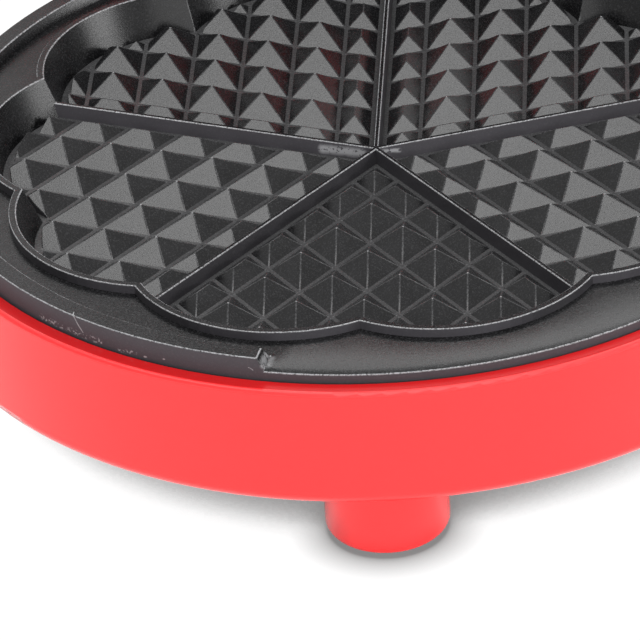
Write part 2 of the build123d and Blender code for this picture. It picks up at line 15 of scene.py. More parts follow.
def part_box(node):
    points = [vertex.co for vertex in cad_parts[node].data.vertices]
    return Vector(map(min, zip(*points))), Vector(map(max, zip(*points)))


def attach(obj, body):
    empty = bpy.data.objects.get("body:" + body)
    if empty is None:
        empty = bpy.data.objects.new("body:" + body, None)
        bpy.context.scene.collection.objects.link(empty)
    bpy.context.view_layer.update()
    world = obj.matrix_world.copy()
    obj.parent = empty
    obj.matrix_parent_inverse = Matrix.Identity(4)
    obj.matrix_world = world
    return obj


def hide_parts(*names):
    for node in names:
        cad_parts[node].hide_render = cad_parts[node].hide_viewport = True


bl_info = {
    "name": "Flower Waffle Maker Looks",
    "version": (1, 0, 0),
    "blender": (4, 5, 0),
    "location": "View3D > Sidebar > Waffle Maker",
    "description": "Finishes, rounded castings, stage and camera for the flower waffle maker",
    "category": "Object",
}

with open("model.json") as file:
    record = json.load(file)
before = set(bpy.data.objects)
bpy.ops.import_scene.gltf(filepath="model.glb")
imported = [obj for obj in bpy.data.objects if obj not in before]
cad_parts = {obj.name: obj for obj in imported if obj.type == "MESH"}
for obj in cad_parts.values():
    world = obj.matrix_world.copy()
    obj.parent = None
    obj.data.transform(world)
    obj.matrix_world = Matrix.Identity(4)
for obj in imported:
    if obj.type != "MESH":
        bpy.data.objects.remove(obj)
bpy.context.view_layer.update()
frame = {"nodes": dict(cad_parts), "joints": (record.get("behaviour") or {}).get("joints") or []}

# Heights and radii are metres from the groove floors and from the plate's axis
lip_height = 0.0096
rubbed_height = 0.0030
rim_edge_levels = (0.0037, 0.0039)
rim_edge_radii = (0.0990, 0.0996)
weld_distance = 2e-6
sharp_angle = radians(25)

plate_low, plate_high = (Vector(corner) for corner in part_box("lower_cooking_plate"))
plate_axis = (plate_low + plate_high) / 2
plate_middle = Vector((plate_axis.x, plate_axis.y, plate_high.z - lip_height))
lid_turn = Matrix.Rotation(-radians(frame["joints"][0]["range_deg"][1]), 3, "X")
face_up = Vector((0, 0, 1))
facing_lid = lid_turn @ -face_up

# Wear on the lip, a painted highlight on the lip's end and painted glints on the dividers by the hub:
# each mark's two ends in metres from the plate's middle, its width and how much noise breaks it,
# from 0 (whole) to 1 (gone)
wear_and_glint_marks = (
    ((-0.0603, -0.0684, 0.0070), (-0.0586, -0.0731, 0.0070), 0.00012, 0.3),
    ((-0.0586, -0.0731, 0.0070), (-0.0583, -0.0750, 0.0096), 0.00012, 0.3),
    ((-0.0583, -0.0750, 0.0096), (-0.0583, -0.0762, 0.0096), 0.00012, 0.3),
    ((-0.0583, -0.0762, 0.0096), (-0.0565, -0.0776, 0.0064), 0.00014, 0.3),
    ((-0.0655, -0.0702, 0.0056), (-0.0527, -0.0802, 0.0056), 0.00060, 0.52),
    ((-0.0485, -0.0828, 0.0052), (-0.0453, -0.0846, 0.0056), 0.00040, 0.48),
    ((-0.0434, -0.0856, 0.0053), (-0.0430, -0.0858, 0.0053), 0.00018, 0.45),
    ((-0.0396, -0.0874, 0.0058), (-0.0392, -0.0876, 0.0058), 0.00016, 0.45),
    ((-0.0218, -0.0935, 0.0071), (-0.0209, -0.0937, 0.0066), 0.00010, 0.4),
    # Painted highlight on the lip's slanted end
    ((-0.0174, -0.0900, 0.0083), (-0.0181, -0.0942, 0.0083), 0.00110, 0.35),
    # Painted glints on the divider walls beside the hub
    ((-0.0118, 0.0030, 0.0014), (-0.0030, 0.0002, 0.0016), 0.00090, 0.36),
    ((0.0016, -0.0001, 0.0022), (0.0050, 0.0008, 0.0018), 0.00045, 0.40),
)


class CameraSettings(bpy.types.PropertyGroup):
    """Where the photograph was taken from, seen from the lower plate's middle."""

    azimuth: bpy.props.FloatProperty(
        name="Azimuth", description="Turn of the view about the plate's axis", default=4.694, unit="NONE"
    )
    elevation: bpy.props.FloatProperty(
        name="Elevation", description="Angle of the view above the table", default=31.941, unit="NONE"
    )
    roll: bpy.props.FloatProperty(
        name="Roll", description="Turn of the picture about the view", default=-3.742, unit="NONE"
    )
    offset: bpy.props.FloatVectorProperty(
        name="Offset",
        description="Camera position from the plate's middle at the groove floors",
        default=(0.05852, -0.8898, 0.5161),
        unit="LENGTH",
    )
    lens: bpy.props.FloatProperty(
        name="Focal length", description="On a sensor 36 mm wide, in millimetres", default=267.9, unit="NONE"
    )


class StageSettings(bpy.types.PropertyGroup):
    """Floor, background and lamps."""

    floor_colour: bpy.props.FloatVectorProperty(
        name="Floor", description="Colour of the plain floor", default=(0.86, 0.86, 0.86), subtype="COLOR"
    )
    floor_lift: bpy.props.FloatProperty(
        name="Floor lift", description="Share of the floor's look that is plain white", default=0.97
    )
    shadow_reach: bpy.props.FloatProperty(
        name="Shadow reach",
        description="How far the darkening under the object goes",
        default=0.06,
        unit="LENGTH",
    )
    contact_reach: bpy.props.FloatProperty(
        name="Contact reach",
        description="How far the darkening round the feet goes",
        default=0.011,
        unit="LENGTH",
    )
    shadow_depth: bpy.props.FloatProperty(
        name="Shadow depth", description="Brightness of the floor where it is fully covered", default=0.24
    )
    world_level: bpy.props.FloatProperty(
        name="Room", description="Strength of the plain room light", default=0.35
    )
    overhead_level: bpy.props.FloatProperty(
        name="Overhead", description="Brightness of the two softboxes above the plates", default=11.0
    )
    right_level: bpy.props.FloatProperty(
        name="Right", description="Brightness of the low softbox at the right", default=12.0
    )
    rear_level: bpy.props.FloatProperty(
        name="Rear", description="Brightness of the softbox above and behind the lid", default=5.0
    )
    front_level: bpy.props.FloatProperty(
        name="Front", description="Brightness of the softbox behind the camera", default=2.2
    )


class CoatingSettings(bpy.types.PropertyGroup):
    """Non-stick coating on the two castings."""

    colour: bpy.props.FloatVectorProperty(
        name="Coating", description="Colour of the coating", default=(0.006, 0.006, 0.0065), subtype="COLOR"
    )
    # Also the colour of painted highlights along edges and on the marks
    bare_and_sheen_colour: bpy.props.FloatVectorProperty(
        name="Worn edge and sheen",
        description="Colour where edges are rubbed",
        default=(0.30, 0.30, 0.31),
        subtype="COLOR",
    )
    # Also painted light: steep faces towards the front take this lighter colour
    side_and_lit_colour: bpy.props.FloatVectorProperty(
        name="Side",
        description="Colour of the plate's dull outer side",
        default=(0.050, 0.047, 0.053),
        subtype="COLOR",
    )
    groove_colour: bpy.props.FloatVectorProperty(
        name="Groove",
        description="Colour of the scoured groove floors",
        default=(0.038, 0.038, 0.039),
        subtype="COLOR",
    )
    edge_radius: bpy.props.FloatProperty(
        name="Edge width", description="Width of the castings' rounded edges", default=0.0002, unit="LENGTH"
    )


class ShellSettings(bpy.types.PropertyGroup):
    """Red housings, feet and handle."""

    colour: bpy.props.FloatVectorProperty(
        name="Red", description="Colour of the shells", default=(0.86, 0.012, 0.014), subtype="COLOR"
    )
    # Painted shade on the rim's flat beside the plate
    rim_shade_colour: bpy.props.FloatVectorProperty(
        name="Rim shade red",
        description="Colour where the rim meets the plate",
        default=(0.42, 0.005, 0.006),
        subtype="COLOR",
    )


def part_material(name):
    """A new node material and its shader."""
    material = bpy.data.materials.new(name)
    material.use_nodes = True
    shader = material.node_tree.nodes["Principled BSDF"]
    return material, shader


def dress(material, *nodes):
    """Puts a material on CAD nodes."""
    for name in nodes:
        piece = frame["nodes"][name]
        piece.data.materials.clear()
        piece.data.materials.append(material)


def opaque(colour, share=1.0):
    """A colour times a share, no channel over 1, with the fourth value that a colour socket takes."""
    return (*[min(channel * share, 1.0) for channel in colour], 1.0)


class Wiring:
    """Adds nodes to a tree, their inputs given by name, and links them."""

    def __init__(self, tree):
        self.tree = tree

    def add(self, kind, settings=None, **inputs):
        """A new node, with an underscore for each space in the names of its inputs."""
        node = self.tree.nodes.new(kind)
        for key, value in (settings or {}).items():
            setattr(node, key, value)
        for key, value in inputs.items():
            self.feed(node.inputs[key.replace("_", " ")], value)
        return node

    def feed(self, socket, value):
        """Links an output to the socket, or sets the socket's own value."""
        if isinstance(value, bpy.types.NodeSocket):
            self.tree.links.new(value, socket)
        else:
            socket.default_value = value

    def math(self, operation, first, second=0.0, clamp=False):
        """The result of one operation on two values, held between 0 and 1 where clamp is set."""
        node = self.tree.nodes.new("ShaderNodeMath")
        node.operation = operation
        node.use_clamp = clamp
        self.feed(node.inputs[0], first)
        self.feed(node.inputs[1], second)
        return node.outputs[0]

    def vector(self, operation, first, second=(0, 0, 0), scale=1.0):
        """The result of one operation on two vectors, or on a vector and a scale."""
        node = self.tree.nodes.new("ShaderNodeVectorMath")
        node.operation = operation
        first_in, second_in, scale_in = 0, 1, 3
        self.feed(node.inputs[first_in], first)
        self.feed(node.inputs[second_in], second)
        self.feed(node.inputs[scale_in], scale)
        return node.outputs["Value" if operation in ("DOT_PRODUCT", "LENGTH") else "Vector"]

    def mix(self, factor, first, second):
        """The first colour where the factor is 0, the second where it is 1."""
        node = self.tree.nodes.new("ShaderNodeMix")
        node.data_type = "RGBA"
        factor_in, first_in, second_in, colour_out = 0, 6, 7, 2
        self.feed(node.inputs[factor_in], factor)
        self.feed(node.inputs[first_in], first)
        self.feed(node.inputs[second_in], second)
        return node.outputs[colour_out]

    def grained(self, shader, grains, depth, strength):
        """Feeds the grain's height to a shader's normal."""
        bump = self.add("ShaderNodeBump", Height=grains.outputs["Height"], Distance=depth, Strength=strength)
        self.feed(shader.inputs["Normal"], bump.outputs["Normal"])


def effect_group(name, inputs, outputs):
    """An empty shader group with named sockets: inputs as (name, type, default), outputs as (name, type)."""
    group = bpy.data.node_groups.new(name, "ShaderNodeTree")
    for label, kind, default in inputs:
        socket = group.interface.new_socket(label, in_out="INPUT", socket_type=kind)
        socket.default_value = default
    for label, kind in outputs:
        group.interface.new_socket(label, in_out="OUTPUT", socket_type=kind)
    return group, group.nodes.new("NodeGroupInput"), group.nodes.new("NodeGroupOutput")


def grain_group():
    """Fine grain: a speckle and a broad mottle from two noises, and their weighted sum as a height."""
    if "grain" in bpy.data.node_groups:
        return bpy.data.node_groups["grain"]
    inputs = [("Grain", "NodeSocketFloat", 0.0004), ("Mottle", "NodeSocketFloat", 0.006)]
    outputs = [(label, "NodeSocketFloat") for label in ("Speckle", "Mottle", "Height")]
    group, entry, leave = effect_group("grain", inputs, outputs)
    wiring = Wiring(group)
    place = wiring.add("ShaderNodeTexCoord").outputs["Object"]
    fine_scale = wiring.math("DIVIDE", 1.0, entry.outputs["Grain"])
    broad_scale = wiring.math("DIVIDE", 1.0, entry.outputs["Mottle"])
    fine = wiring.add("ShaderNodeTexNoise", Vector=place, Scale=fine_scale, Detail=3.0, Roughness=0.7)
    broad = wiring.add("ShaderNodeTexNoise", Vector=place, Scale=broad_scale, Detail=4.0, Roughness=0.6)
    mottle_share = 0.5
    swell = wiring.math("MULTIPLY", broad.outputs["Fac"], mottle_share)
    height = wiring.math("ADD", fine.outputs["Fac"], swell)
    wiring.feed(leave.inputs["Speckle"], fine.outputs["Fac"])
    wiring.feed(leave.inputs["Mottle"], broad.outputs["Fac"])
    wiring.feed(leave.inputs["Height"], height)
    return group


def mark_group():
    """A line of bare colour, for rubbing and painted highlights: 1 along the segment from one point to
    another, 0 beyond its width, broken by noise.

    The distance is the length of p - a - t (b - a), where t is (p - a).(b - a) over the segment's
    squared length, held between 0 and 1, and p is moved a little by noise.
    """
    if "mark" in bpy.data.node_groups:
        return bpy.data.node_groups["mark"]
    inputs = [
        ("From", "NodeSocketVector", (0, 0, 0)),
        ("To", "NodeSocketVector", (0, 0, 0)),
        ("Width", "NodeSocketFloat", 0.0003),
        ("Broken", "NodeSocketFloat", 0.4),
    ]
    group, entry, leave = effect_group("mark", inputs, [("Mark", "NodeSocketFloat")])
    wiring = Wiring(group)
    waver_scale, waver_reach = 400.0, 0.0007
    fleck_scale, fleck_sharpness = 1600.0, 12.0
    soft_edge = 1.5
    place = wiring.add("ShaderNodeTexCoord").outputs["Object"]
    waver = wiring.add("ShaderNodeTexNoise", Vector=place, Scale=waver_scale, Detail=2.0).outputs["Color"]
    shift = wiring.vector("SCALE", wiring.vector("SUBTRACT", waver, (0.5, 0.5, 0.5)), scale=waver_reach)
    point = wiring.vector("ADD", place, shift)
    along = wiring.vector("SUBTRACT", entry.outputs["To"], entry.outputs["From"])
    across = wiring.vector("SUBTRACT", point, entry.outputs["From"])
    length = wiring.vector("DOT_PRODUCT", along, along)
    share = wiring.math("DIVIDE", wiring.vector("DOT_PRODUCT", across, along), length, clamp=True)
    nearest = wiring.vector("SCALE", along, scale=share)
    away = wiring.vector("LENGTH", wiring.vector("SUBTRACT", across, nearest))
    widths = wiring.math("DIVIDE", away, entry.outputs["Width"])
    inside = wiring.math("SUBTRACT", soft_edge, widths, clamp=True)
    flecks = wiring.add("ShaderNodeTexNoise", Vector=place, Scale=fleck_scale, Detail=2.0).outputs["Fac"]
    over = wiring.math("SUBTRACT", flecks, entry.outputs["Broken"])
    kept = wiring.math("MULTIPLY", over, fleck_sharpness, clamp=True)
    wiring.feed(leave.inputs["Mark"], wiring.math("MULTIPLY", inside, kept))
    return group


def rim_group():
    """Where a point of a housing lies on its rim: on the flat beside the hot plate, which takes painted
    shade, or on the rounded edge.

    With d the step from the plate's middle to the point and n the way the plate faces, the height is
    d.n and the radius the length of d - (d.n) n. Points lower than the rim count as neither.
    """
    if "rim" in bpy.data.node_groups:
        return bpy.data.node_groups["rim"]
    inputs = [("Middle", "NodeSocketVector", (0, 0, 0)), ("Facing", "NodeSocketVector", (0, 0, 1))]
    outputs = [("Shaded flat", "NodeSocketFloat"), ("Edge", "NodeSocketFloat")]
    group, entry, leave = effect_group("rim", inputs, outputs)
    wiring = Wiring(group)
    place = wiring.add("ShaderNodeTexCoord").outputs["Object"]
    step = wiring.vector("SUBTRACT", place, entry.outputs["Middle"])
    height = wiring.vector("DOT_PRODUCT", step, entry.outputs["Facing"])
    upright = wiring.vector("SCALE", entry.outputs["Facing"], scale=height)
    radius = wiring.vector("LENGTH", wiring.vector("SUBTRACT", step, upright))
    outer = band(wiring, radius, *rim_edge_radii)
    on_rim = band(wiring, height, *rim_edge_levels)
    wiring.feed(leave.inputs["Edge"], wiring.math("MULTIPLY", outer, on_rim))
    inner = wiring.math("SUBTRACT", 1.0, outer)
    wiring.feed(leave.inputs["Shaded flat"], wiring.math("MULTIPLY", inner, on_rim))
    return group


def band(wiring, value, low, high):
    """0 below low, 1 above high and even between."""
    node = wiring.add("ShaderNodeMapRange", {"clamp": True}, Value=value)
    node.inputs["From Min"].default_value = low
    node.inputs["From Max"].default_value = high
    return node.outputs["Result"]


def marked(wiring, marks, middle):
    """The strongest of some marks, given as (from, to, width, broken) about a middle."""
    strongest = 0.0
    for start, stop, width, broken in marks:
        where = {"From": middle + Vector(start), "To": middle + Vector(stop)}
        mark = wiring.add("ShaderNodeGroup", {"node_tree": mark_group()}, **where, Width=width, Broken=broken)
        strongest = wiring.math("MAXIMUM", strongest, mark.outputs["Mark"])
    return strongest


def coating_material(settings):
    """Dark satin coating with a fine speckle, silvery where it is rubbed and where edges and marks carry a
    painted highlight, paler on the groove floors, duller and lighter on steep sides, where the lighter colour
    on those facing the front is painted light.
    """
    mottle_span, fleck_span, rub_span = (0.35, 0.65), (0.50, 0.72), (0.32, 0.56)
    fleck_share, bare_share = 0.06, 0.85
    gloss_roughness, speckle_roughness, dull_roughness = 0.15, 0.22, 0.25
    dark_share, light_share = 0.5, 1.2
    material, shader = part_material("non_stick_coating")
    wiring = Wiring(material.node_tree)
    grains = wiring.add("ShaderNodeGroup", {"node_tree": grain_group()}, Grain=0.00042, Mottle=0.008)
    speckle, mottle = grains.outputs["Speckle"], grains.outputs["Mottle"]
    edge, dull, groove = (
        wiring.add("ShaderNodeAttribute", {"attribute_name": name}).outputs["Fac"]
        for name in ("edge", "dull", "groove")
    )
    darker, lighter = opaque(settings.colour, dark_share), opaque(settings.colour, light_share)
    tone = wiring.mix(band(wiring, mottle, *mottle_span), darker, lighter)
    # Groove floors take a paler grey than the facets
    paler = wiring.mix(groove, tone, opaque(settings.groove_colour))
    # Steep faces take the side's colour: the plate's dull outer side, and painted light on steep faces
    # towards the front
    dulled_and_lit = wiring.mix(dull, paler, opaque(settings.side_and_lit_colour))
    spots = wiring.math("MULTIPLY", band(wiring, speckle, *fleck_span), fleck_share)
    flecked = wiring.mix(spots, dulled_and_lit, opaque(settings.bare_and_sheen_colour))
    # Narrow edge faces take the bare colour, as rubbing and as a painted highlight
    rub_and_sheen = wiring.math("MULTIPLY", edge, band(wiring, speckle, *rub_span), clamp=True)
    marks = marked(wiring, wear_and_glint_marks, plate_middle)
    bare_and_sheen = wiring.math("MULTIPLY", wiring.math("MAXIMUM", rub_and_sheen, marks), bare_share)
    worn_and_sheen = wiring.mix(bare_and_sheen, flecked, opaque(settings.bare_and_sheen_colour))
    wiring.feed(shader.inputs["Base Color"], worn_and_sheen)
    rough = wiring.math("ADD", gloss_roughness, wiring.math("MULTIPLY", speckle, speckle_roughness))
    rough = wiring.math("ADD", rough, wiring.math("MULTIPLY", dull, dull_roughness))
    wiring.feed(shader.inputs["Roughness"], rough)
    wiring.grained(shader, grains, depth=0.000022, strength=1.0)
    shader.inputs["Specular IOR Level"].default_value = 0.25
    return material


def shell_material(name, settings, middle, facing):
    """Glossy moulded red with a faint orange-peel surface, with painted shade on the rim's flat beside the
    plate.
    """
    gloss_roughness, mottle_roughness, edge_roughness = 0.16, 0.08, 0.3
    polish, dark_share, mottle_span = 0.35, 0.97, (0.3, 0.7)
    material, shader = part_material(name)
    wiring = Wiring(material.node_tree)
    grains = wiring.add("ShaderNodeGroup", {"node_tree": grain_group()}, Grain=0.002, Mottle=0.04)
    mottle = grains.outputs["Mottle"]
    darker = opaque(settings.colour, dark_share)
    tone = wiring.mix(band(wiring, mottle, *mottle_span), darker, opaque(settings.colour))
    rim = wiring.add("ShaderNodeGroup", {"node_tree": rim_group()}, Middle=middle, Facing=facing)
    flat, edge = rim.outputs["Shaded flat"], rim.outputs["Edge"]
    # Painted shade: the rim's flat beside the plate takes the darker red
    wiring.feed(shader.inputs["Base Color"], wiring.mix(flat, tone, opaque(settings.rim_shade_colour)))
    rough = wiring.math("ADD", gloss_roughness, wiring.math("MULTIPLY", mottle, mottle_roughness))
    rough = wiring.math("ADD", rough, wiring.math("MULTIPLY", edge, edge_roughness))
    wiring.feed(shader.inputs["Roughness"], rough)
    wiring.grained(shader, grains, depth=0.00002, strength=0.25)
    polished = wiring.math("MULTIPLY", wiring.math("SUBTRACT", 1.0, edge), polish)
    wiring.feed(shader.inputs["Coat Weight"], polished)
    shader.inputs["Coat Roughness"].default_value = 0.08
    return material


def plain_material(name, colour, roughness, metallic=0.0, grain_size=0.0006):
    """A finish of one colour with its own grain and uneven gloss."""
    mottle_grains, spread = 14, 0.12
    dark_share, light_share = 0.82, 1.12
    material, shader = part_material(name)
    wiring = Wiring(material.node_tree)
    sizes = {"Grain": grain_size, "Mottle": grain_size * mottle_grains}
    grains = wiring.add("ShaderNodeGroup", {"node_tree": grain_group()}, **sizes)
    darker, lighter = opaque(colour, dark_share), opaque(colour, light_share)
    wiring.feed(shader.inputs["Base Color"], wiring.mix(grains.outputs["Mottle"], darker, lighter))
    uneven = wiring.math("MULTIPLY", grains.outputs["Speckle"], spread)
    wiring.feed(shader.inputs["Roughness"], wiring.math("ADD", roughness - spread / 2, uneven))
    wiring.grained(shader, grains, depth=0.00003, strength=0.3)
    shader.inputs["Metallic"].default_value = metallic
    return material


def plated_steel():
    """Steel of the screws, pins, thermostat and fuse clip, made once and shared."""
    name, colour, roughness = "plated_steel", (0.55, 0.55, 0.56), 0.32
    return bpy.data.materials.get(name) or plain_material(name, colour, roughness, metallic=1.0)


def values_of(items, field, width=1, kind=float):
    """One field of all a mesh's items as an array, with a row of width values for each item."""
    values = np.empty(len(items) * width, dtype=kind)
    items.foreach_get(field, values)
    return values.reshape(-1, width) if width > 1 else values


def corner_normals(mesh, on_edge, blend):
    """Shading normals that keep flats flat and let the narrow edge faces turn between them.

    A corner's normal is the sum of the normals of the faces about its vertex, each times its angle
    there. A flat's corner counts the flats whose normals lie within the blend angle of its own. An
    edge face's corner counts every flat that it touches and that looks its way. The edge faces
    themselves count next to nothing.
    """
    loops = len(mesh.loops)
    vertex = values_of(mesh.loops, "vertex_index", kind=np.int64)
    starts = values_of(mesh.polygons, "loop_start", kind=np.int64)
    sides = np.diff(np.append(starts, loops))
    face = np.repeat(np.arange(len(starts)), sides)
    place = np.arange(loops) - starts[face]
    ahead = starts[face] + (place + 1) % sides[face]
    behind = starts[face] + (place - 1) % sides[face]
    points = values_of(mesh.vertices, "co", 3)
    to_next = points[vertex[ahead]] - points[vertex]
    to_last = points[vertex[behind]] - points[vertex]
    across = np.linalg.norm(np.cross(to_next, to_last), axis=1)
    spread = np.arctan2(across, (to_next * to_last).sum(1))
    normals = values_of(mesh.polygons, "normal", 3)[face]
    order = np.argsort(vertex, kind="stable")
    first = np.searchsorted(vertex[order], np.arange(len(mesh.vertices)))
    around = np.bincount(vertex, minlength=len(mesh.vertices))
    own = np.repeat(np.arange(loops), around[vertex])
    step = np.arange(len(own)) - np.repeat(np.cumsum(around[vertex]) - around[vertex], around[vertex])
    other = order[first[vertex[own]] + step]
    agree = (normals[own] * normals[other]).sum(1)
    narrow = on_edge[face]
    limit = np.where(narrow[own], 0.0, cos(blend))
    narrow_share, smallest = 1e-4, 1e-12
    weight = np.where(agree > limit, spread[other], 0.0) * np.where(narrow[other], narrow_share, 1.0)
    total = [np.bincount(own, weight * normals[other, axis], loops) for axis in range(3)]
    total = np.stack(total, axis=1)
    return total / np.maximum(np.linalg.norm(total, axis=1), smallest)[:, None]


def casting_zones(mesh, face_normal):
    """How dull each face is, with painted light on steep faces towards the front, and whether it is a
    groove's floor.

    A face's radius is its middle's distance from the casting's axis in the plane of the plate. A
    steep face near the plate's full radius is fully dull. Elsewhere it is partly dull, and more so
    the nearer it comes to facing the front; the lighter colour this gives is painted light. A groove's
    floor is level and lies the lip's height below the highest point.
    """
    steep, level, depth_fit = 0.3, 0.99, 0.0001
    outer_share, partly_dull = 0.985, 0.4
    front_from, front_span = 0.8, 0.15
    middles = values_of(mesh.polygons, "center", 3)
    normals = values_of(mesh.polygons, "normal", 3)
    points = values_of(mesh.vertices, "co", 3)
    up = np.array(face_normal)
    tilt = normals @ up
    sideways = np.array((1.0, 0.0, 0.0))
    plane = np.stack([sideways, np.cross(up, sideways)], axis=1)
    flat = points @ plane
    axis = (flat.min(axis=0) + flat.max(axis=0)) / 2
    reach = (flat.max(axis=0) - axis).max()
    outermost = np.linalg.norm(middles @ plane - axis, axis=1) > reach * outer_share
    frontward = -(normals @ plane)[:, 1]
    to_front = np.clip((frontward - front_from) / front_span, 0.0, 1.0)
    inside = partly_dull + (1.0 - partly_dull) * to_front
    # Painted light: steep inner faces grow lighter the more they face the front
    dull = np.where(np.abs(tilt) < steep, np.where(outermost, 1.0, inside), 0.0)
    depth = (points @ up).max() - middles @ up
    return dull, (tilt > level) & (np.abs(depth - lip_height) < depth_fit)


def plate_place(name, facing):
    """A plate's middle at its groove floors, and the way it faces.

    The middle of the plate's extent along each of three axes square to each other, one of them
    facing, is moved along facing to the lip's height below the highest point.
    """
    points = values_of(frame["nodes"][name].data.vertices, "co", 3)
    axes = np.array((Vector((1, 0, 0)), facing.cross((1, 0, 0)), facing))
    spread = points @ axes.T
    middle = (spread.min(axis=0) + spread.max(axis=0)) / 2
    middle[2] = spread[:, 2].max() - lip_height
    return Vector(middle @ axes), facing


def rounded_casting(node, width, face_normal):
    """A copy of a CAD node, welded, with its outward edges taken off by a narrow rounded face.

    The value "edge" is 0 away from those narrow faces. On them it is 1 along edges level with the
    cooking face, which hands and cloths rub, and little along the pyramids' sloping hips and low
    down between the dividers. The coating turns lighter by it, as rubbing and as a painted highlight.
    """
    level_edge, hip = 8, 1
    level_slope = 0.05
    build = bmesh.new()
    build.from_mesh(node.data)
    bmesh.ops.remove_doubles(build, verts=build.verts, dist=weld_distance)
    tag = build.faces.layers.int.new("narrow")
    outward = [edge for edge in build.edges if edge.calc_face_angle_signed(0.0) > sharp_angle]
    narrow = bmesh.ops.bevel(
        build, geom=outward, offset=width, segments=1, affect="EDGES", clamp_overlap=False
    )["faces"]
    floor_level = max(vertex.co.dot(face_normal) for vertex in build.verts) - lip_height
    for face in narrow:
        longest = max(face.edges, key=lambda edge: edge.calc_length())
        along = (longest.verts[0].co - longest.verts[1].co).normalized()
        raised = face.calc_center_median().dot(face_normal) - floor_level > rubbed_height
        face[tag] = level_edge if raised and abs(along.dot(face_normal)) < level_slope else hip
    for face in build.faces:
        face.smooth = True
    mesh = bpy.data.meshes.new(f"{node.name}_casting")
    build.to_mesh(mesh)
    build.free()
    on_edge = values_of(mesh.attributes["narrow"].data, "value", kind=np.int32)
    mesh.attributes.remove(mesh.attributes["narrow"])
    mesh.normals_split_custom_set(corner_normals(mesh, on_edge > 0, sharp_angle))
    sides = values_of(mesh.polygons, "loop_total", kind=np.int64)
    dull, groove = casting_zones(mesh, face_normal)
    for name, values in (("edge", on_edge / level_edge), ("dull", dull), ("groove", groove)):
        layer = mesh.attributes.new(name, "FLOAT", "CORNER")
        layer.data.foreach_set("value", np.repeat(values, sides).astype(np.float32))
    piece = bpy.data.objects.new(mesh.name, mesh)
    bpy.context.scene.collection.objects.link(piece)
    return piece


def solids_of(node):
    """The points of each separate solid in a CAD node.

    Every point starts with its own number, and each edge gives both its ends the smaller of
    their numbers until nothing changes, so a solid's points end with one number.
    """
    build = bmesh.new()
    build.from_mesh(node.data)
    bmesh.ops.remove_doubles(build, verts=build.verts, dist=weld_distance)
    build.verts.index_update()
    points = np.array([vertex.co[:] for vertex in build.verts])
    first, second = np.array([[vertex.index for vertex in edge.verts] for edge in build.edges]).T
    build.free()
    number = np.arange(len(points))
    while True:
        lower = np.minimum(number[first], number[second])
        changed = number.copy()
        np.minimum.at(changed, first, lower)
        np.minimum.at(changed, second, lower)
        if (changed == number).all():
            return [points[number == one] for one in np.unique(number)]
        number = changed


def turned_ring(profile, count):
    """Points of a turned form: each (radius, height) of the profile at count even angles about Z."""
    angles = np.arange(count) * 2 * pi / count
    radius, height = np.array(profile).T
    x = radius[:, None] * np.cos(angles)
    y = radius[:, None] * np.sin(angles)
    points = np.stack([x, y, np.broadcast_to(height[:, None], x.shape)], axis=2).reshape(-1, 3)
    return points, grid_faces(len(profile), count, closed=True)


def grid_faces(rows, columns, closed=False):
    """Four-sided faces of a grid of points numbered row by row, joined round if it is closed."""
    numbers = np.arange(rows * columns).reshape(rows, columns)
    if closed:
        numbers = np.concatenate([numbers, numbers[:, :1]], axis=1)
    corners = (numbers[:-1, :-1], numbers[:-1, 1:], numbers[1:, 1:], numbers[1:, :-1])
    return np.stack([corner.ravel() for corner in corners], axis=1)


def cross_head(radius, height):
    """A screw's head: a low dome with a cross recess, closed round its side and underneath.

    A square grid of u and v from -1 to 1 is spread over the disc by x = u sqrt(1 - v^2 / 2) and
    y = v sqrt(1 - u^2 / 2). The dome's height is h (1 - rise (x^2 + y^2)), less the recess where one
    of |u| and |v| is within an arm's half width and the other within its length. Two more rings
    follow the disc's rim down to the underside, where they close at its middle.
    """
    half = np.array((0.0, 0.12, 0.16, 0.3, 0.45, 0.58, 0.62, 0.8, 0.92, 1.0))
    steps = np.concatenate([-half[:0:-1], half])
    u, v = (grid.ravel() for grid in np.meshgrid(steps, steps))
    x, y = u * np.sqrt(1 - v**2 / 2), v * np.sqrt(1 - u**2 / 2)
    narrow, far = np.minimum(abs(u), abs(v)), np.maximum(abs(u), abs(v))
    arm_half_width, arm_length, depth, rise = 0.13, 0.6, 0.55, 0.3
    recess = np.where((narrow < arm_half_width) & (far < arm_length), depth, 0.0)
    dome = height * (1 - rise * (x**2 + y**2) - recess)
    top = np.stack([x * radius, y * radius, dome], axis=1)
    count = len(steps)
    numbers = np.arange(count * count).reshape(count, count)
    rim = np.concatenate([numbers[0, :-1], numbers[:-1, -1], numbers[-1, :0:-1], numbers[:0:-1, 0]])
    side = top[rim] * (1, 1, 0)
    under = side * 0.0
    rows = np.concatenate([rim, np.arange(2 * len(rim)) + count * count])
    skirt = rows[grid_faces(3, len(rim), closed=True)]
    faces = np.concatenate([grid_faces(count, count), skirt])
    return np.concatenate([top, side, under]), faces


